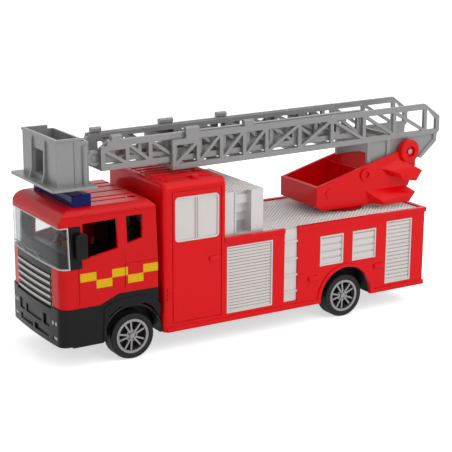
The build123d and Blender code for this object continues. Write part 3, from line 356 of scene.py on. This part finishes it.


# the cab red is darker than the body red as painted shade, not a different plastic
cab_abs_painted_shade, tree, shader = moulded("cab_red_abs_painted_shade", "#D0040F", "#D8060F", 0.22, 0.04, 6.0, 0.010)
shader.inputs["IOR"].default_value = 1.54
shader.inputs["Specular IOR Level"].default_value = 0.13
place, facing = surface(tree)
column = cells(tree, place["X"], print_rear, print_pitch)
row = cells(tree, place["Z"], print_middle, print_height)
whole_column = node(tree, "ShaderNodeMath", {"operation": "FLOOR"}, _0=column).outputs[0]
whole_row = node(tree, "ShaderNodeMath", {"operation": "FLOOR"}, _0=row).outputs[0]
odd = node(tree, "ShaderNodeMath", {"operation": "MODULO"}, _0=whole_column, _1=2.0).outputs[0]
offset = node(tree, "ShaderNodeMath", {"operation": "ADD"}, _0=whole_row, _1=odd).outputs[0]
sideways = node(tree, "ShaderNodeMath", {"operation": "ABSOLUTE"}, _0=facing["Y"]).outputs[0]
printed = where(tree, (offset, "GREATER_THAN", -whole_number), (offset, "LESS_THAN", whole_number),
                (column, "GREATER_THAN", 0.0), (column, "LESS_THAN", float(print_count)),
                (sideways, "GREATER_THAN", side_on))
paint(tree, shader, printed, "#DDB400")
dress(cab_abs_painted_shade, "cab_shell")


# ------------------------------------------------------------------ bumper and grille
# The bumper skirt and grille are black ABS. The grille bars are sprayed silver
# on their raised faces; lamps are plated inserts pushed in from behind.

black_abs, _, shader = moulded("black_abs", "#0D0D0F", "#141416", 0.30, 0.05, 0.5, 0.006)
shader.inputs["IOR"].default_value = 1.50
shader.inputs["Specular IOR Level"].default_value = 0.14
dress(black_abs, "cab_skirt", "mirror_left", "mirror_right", "dashboard", "seats")
dress(plated, "lamp_unit_left", "lamp_unit_right")

grille_black, tree, shader = moulded("grille_black_abs", "#0D0D0F", "#141416", 0.30, 0.05, 0.5,
                                     0.006)
shader.inputs["Specular IOR Level"].default_value = 0.14
bar_lowest = 29.325 * MM
bar_pitch = 3.05 * MM
bar_half = 0.62 * MM
bar_top = bar_lowest + 4.4 * bar_pitch       # just over the middle of the fifth bar
forward_on = 0.6         # share of X in the direction that a painted face looks
place, facing = surface(tree)
above = node(tree, "ShaderNodeMath", {"operation": "SUBTRACT"}, _0=place["Z"], _1=bar_lowest)
nearest = node(tree, "ShaderNodeMath", {"operation": "PINGPONG"}, _0=above.outputs[0],
               _1=bar_pitch / 2).outputs[0]
sprayed = where(tree, (nearest, "LESS_THAN", bar_half), (facing["X"], "GREATER_THAN", forward_on),
                (place["Z"], "LESS_THAN", bar_top))
paint(tree, shader, sprayed, "#C9C4C1")
dress(grille_black, "grille")


# ------------------------------------------------------------------ windscreen
# One piece of clear polystyrene wraps the front of the cab. It is polished, a
# millimetre thick, and its cut edges catch the light.


def show(tree, shader):
    """Makes one shader what the material shows."""
    output = next(n for n in tree.nodes if n.type == "OUTPUT_MATERIAL")
    tree.links.new(shader.outputs[0], output.inputs[0])


def clear(name, skin, body, roughness, least):
    """Transparent plastic: what is behind shows through the body tint, under a glossy surface
    that covers its least share face on and more at a glancing angle."""
    material, tree, shader = blank(name)
    place = node(tree, "ShaderNodeTexCoord").outputs["Object"]
    flow = node(tree, "ShaderNodeTexNoise", Vector=place, Scale=1 / (9 * MM), Detail=1.0)
    gloss = node(tree, "ShaderNodeMapRange", _0=flow.outputs[0], _3=roughness * 0.5,
                 _4=roughness * 1.5)
    edge = node(tree, "ShaderNodeBevel", {"samples": 4}, Radius=0.3 * MM)
    ripple = node(tree, "ShaderNodeBump", Height=flow.outputs[0], Distance=0.02 * MM,
                  Normal=edge.outputs[0])
    shader.inputs["Base Color"].default_value = linear(skin)
    shader.inputs["IOR"].default_value = 1.58
    tree.links.new(gloss.outputs[0], shader.inputs["Roughness"])
    tree.links.new(ripple.outputs[0], shader.inputs["Normal"])
    glance = node(tree, "ShaderNodeLayerWeight", Blend=0.5)
    rise = node(tree, "ShaderNodeMath", {"operation": "POWER"}, _0=glance.outputs["Facing"], _1=4.0)
    share = node(tree, "ShaderNodeMapRange", _0=rise.outputs[0], _3=least, _4=0.9)
    through = node(tree, "ShaderNodeBsdfTransparent", Color=linear(body))
    mixed = node(tree, "ShaderNodeMixShader", _0=share.outputs[0], _1=through.outputs[0],
                 _2=shader.outputs[0])
    show(tree, mixed)
    return material, tree, shader, mixed


clear_polystyrene, _, _, _ = clear("clear_polystyrene", "#B9BCBD", "#E4E6E6", 0.08, 0.45)

# the same plastic on the screen itself, with a pale band painted along its cut edges as a painted
# highlight
screen_rear_x = station(193.0)
screen_low = 45.9 * MM
screen_high = 64.1 * MM
cut_band = 0.42 * MM
screen_polystyrene, tree, _, mixed = clear("screen_polystyrene", "#A9ACAE", "#F0F2F2", 0.04, 0.05)
edge_highlight_share = 0.75
place, _ = surface(tree)
clear_part = where(tree, (place["X"], "GREATER_THAN", screen_rear_x + cut_band),
                   (place["Z"], "GREATER_THAN", screen_low + cut_band),
                   (place["Z"], "LESS_THAN", screen_high - cut_band))
cut = node(tree, "ShaderNodeMapRange", _0=clear_part, _3=edge_highlight_share, _4=0.0)
# the pale colour along the cut edges is a painted highlight for the light those edges catch
painted_edge_highlight = node(tree, "ShaderNodeBsdfPrincipled", Base_Color=linear("#E4E7E7"), Roughness=0.3)
screen_with_painted_highlight = node(tree, "ShaderNodeMixShader", _0=cut.outputs[0], _1=mixed.outputs[0],
               _2=painted_edge_highlight.outputs[0])
show(tree, screen_with_painted_highlight)
dress(screen_polystyrene, "windscreen")

# two wipers are moulded on the screen as low ridges, each an arm and a blade
wiper_width = 0.55 * MM
wiper_rise = 0.45 * MM
wiper_sink = 0.12 * MM
wiper_shift = 16.5 * MM
wiper_end = 0.6          # size of a ridge's ends against its middle
shoulder = 0.6           # height of a ridge's shoulders against its crest
ahead_of_cab = 0.3       # where the rays that find the screen start
arm = [(9.0, 46.7), (7.6, 47.6), (5.0, 48.3), (1.5, 48.6)]
blade = [(8.0, 49.7), (4.0, 49.3), (0.0, 49.0), (-4.0, 48.8), (-8.0, 48.7)]


def ridge(paths, base):
    """Maker of raised ridges that follow paths of (y, z) across the front of a node."""
    mesh = part[base].data
    outside = BVHTree.FromPolygons([v.co for v in mesh.vertices], [p.vertices for p in mesh.polygons])

    def make(bm):
        for path in paths:
            spine = []
            for y, z in path:
                hit = outside.ray_cast(Vector((ahead_of_cab, y, z)), Vector((-1, 0, 0)))
                if hit[0]:
                    spine.append((hit[0], hit[1]))
            rings = []
            for k, (centre, normal) in enumerate(spine):
                ahead = spine[min(k + 1, len(spine) - 1)][0] - spine[max(k - 1, 0)][0]
                across = ahead.cross(normal).normalized() * wiper_width / 2
                ends = wiper_end if k in (0, len(spine) - 1) else 1.0
                rings.append([bm.verts.new(centre + across * s * ends + normal * h) for s, h in
                              ((-1, -wiper_sink), (-0.8, wiper_rise * shoulder * ends),
                               (-0.3, wiper_rise * ends), (0.3, wiper_rise * ends),
                               (0.8, wiper_rise * shoulder * ends), (1, -wiper_sink))])
            for a, b in zip(rings[:-1], rings[1:]):
                for k in range(6):
                    bm.faces.new((a[k], a[(k + 1) % 6], b[(k + 1) % 6], b[k]))
            bm.faces.new(rings[0])
            bm.faces.new(rings[-1][::-1])
    return make


for name, shift in (("left_wiper", 0.0), ("right_wiper", -wiper_shift)):
    paths = [[(y * MM + shift, z * MM) for y, z in line] for line in (arm, blade)]
    solid_piece(name, ridge(paths, "windscreen"), clear_polystyrene, "vehicle", flat=False)


# ------------------------------------------------------------------ light bar
# The beacon bar across the cab roof is one moulding of transparent blue
# polystyrene, hollow from below. It is polished in the tool and stands on the
# roof, and is so deep in colour that it lets little light through.

blue_polystyrene, _, shader, _ = clear("blue_polystyrene", "#0A1270", "#2C3CDC", 0.10, 0.55)
shader.inputs["Specular IOR Level"].default_value = 0.15
dress(blue_polystyrene, "light_bar")


# ------------------------------------------------------------------ steering wheel
# The steering wheel and its column are one small grey ABS moulding, standing at
# the dashboard. It has the same metal flake as the ladder, and a soft gloss.

grey_ladder, _, shader = moulded("grey_abs", "#858585", "#929292", 0.30, 0.06, 0.20, 0.008, 0.18)
shader.inputs["Metallic"].default_value = 0.15
dress(grey_ladder, "steering_wheel")


# ------------------------------------------------------------------ turret
# The turret is one red ABS moulding: a tray with wings and two ears for the
# ladder's pin. It turns on a post that a screw and washer hold in the deck.

dress(red_abs, "turret")


# ------------------------------------------------------------------ ladders and platform
# Three ladder sections slide in one another, held by small lugs, and a platform
# hangs on a pin at the tip. The mouldings are grey ABS with a little metal flake,
# used as they come from the tool. The steel pin is finished in the same grey.

for section in ("main_ladder", "mid_ladder", "top_ladder"):
    dress(grey_ladder, *(f"{section}_{kind}" for kind in ("left", "right", "rungs")))
dress(grey_ladder, "main_ladder_bracket_left", "main_ladder_bracket_right", "platform",
      "platform_pin")


# ------------------------------------------------------------------ floor, light and camera
# The engine stands on a table of matt white paper, under three wide soft lamps
# and an even white surround.

reach = 4.0
floor_drop = 0.02 * MM   # keeps the table off the tyres
floor_lift = 0.6         # glow of the table, so that it reads as white
lit_level = 0.5          # brightness of the surround as a light
seen_level = 1.0         # and as it is seen


def seen_rays(tree):
    """One for rays that look at the set, and nought for those that only light it."""
    path = node(tree, "ShaderNodeLightPath")
    seen = path.outputs["Is Camera Ray"]
    for kind in ("Is Glossy Ray", "Is Transmission Ray"):
        seen = node(tree, "ShaderNodeMath", {"operation": "MAXIMUM"}, _0=seen,
                    _1=path.outputs[kind]).outputs[0]
    return seen


floor_mesh = bpy.data.meshes.new("studio_floor")
corners = [(-reach, -reach, 0), (reach, -reach, 0), (reach, reach, 0), (-reach, reach, 0)]
floor_mesh.from_pydata(corners, [], [(0, 1, 2, 3)])
floor = bpy.data.objects.new("studio_floor", floor_mesh)
bpy.context.scene.collection.objects.link(floor)
paper, tree, shader = blank("white_paper")
place = node(tree, "ShaderNodeTexCoord").outputs["Object"]
fibre = node(tree, "ShaderNodeTexNoise", Vector=place, Scale=1 / (2 * MM))
tone = node(tree, "ShaderNodeMix", {"data_type": "RGBA"}, _0=fibre.outputs[0],
            _6=linear("#F3F3F3"), _7=linear("#F7F7F7"))
tree.links.new(tone.outputs[2], shader.inputs["Base Color"])
shader.inputs["Roughness"].default_value = 0.8
shader.inputs["Specular IOR Level"].default_value = 0.1
lift = node(tree, "ShaderNodeMapRange", _0=seen_rays(tree), _3=0.0, _4=floor_lift)
shader.inputs["Emission Color"].default_value = (1, 1, 1, 1)
tree.links.new(lift.outputs[0], shader.inputs["Emission Strength"])
floor_mesh.materials.append(paper)
floor.location.z = -floor_drop

world = bpy.data.worlds.new("studio")
bpy.context.scene.world = world
world.use_nodes = True
tree = world.node_tree
tree.nodes.clear()
strength = node(tree, "ShaderNodeMapRange", _0=seen_rays(tree), _3=lit_level, _4=seen_level)
light = node(tree, "ShaderNodeBackground", Color=(1, 1, 1, 1), Strength=strength.outputs[0])
node(tree, "ShaderNodeOutputWorld", Surface=light.outputs[0])


def lamp(name, azimuth, elevation, distance, size, power):
    """A square soft lamp aimed at the middle of the vehicle."""
    data = bpy.data.lights.new(name, "AREA")
    data.size = size
    data.energy = power
    made = bpy.data.objects.new(name, data)
    bpy.context.scene.collection.objects.link(made)
    a, e = math.radians(azimuth), math.radians(elevation)
    place = Vector((math.cos(e) * math.cos(a), math.cos(e) * math.sin(a), math.sin(e))) * distance
    target = Vector((0, 0, 45 * MM))
    made.location = target + place
    made.rotation_euler = (-place).to_track_quat("-Z", "Y").to_euler()


lamp("side_lamp", azimuth=112, elevation=38, distance=0.8, size=0.7, power=2.6)
lamp("front_lamp", azimuth=35, elevation=35, distance=0.8, size=0.6, power=0.4)
lamp("top_lamp", azimuth=180, elevation=80, distance=0.8, size=0.8, power=1.0)

eye = Vector((0.317706, 0.50525, 0.20331))
aim = Vector((-0.50385, -0.82511, -0.25561)).normalized()
roll = math.radians(0.3)
right = aim.cross(Vector((0, 0, 1))).normalized()
up = right.cross(aim)
turned_right = right * math.cos(roll) + up * math.sin(roll)
turned_up = up * math.cos(roll) - right * math.sin(roll)
view = Matrix((turned_right, turned_up, -aim)).transposed().to_4x4()
camera_data = bpy.data.cameras.new("camera")
camera_data.sensor_width = 36
camera_data.lens = 102.235
camera = bpy.data.objects.new("camera", camera_data)
bpy.context.scene.collection.objects.link(camera)
camera.matrix_world = Matrix.Translation(eye) @ view
bpy.context.scene.camera = camera
bpy.context.scene.view_settings.view_transform = "Standard"
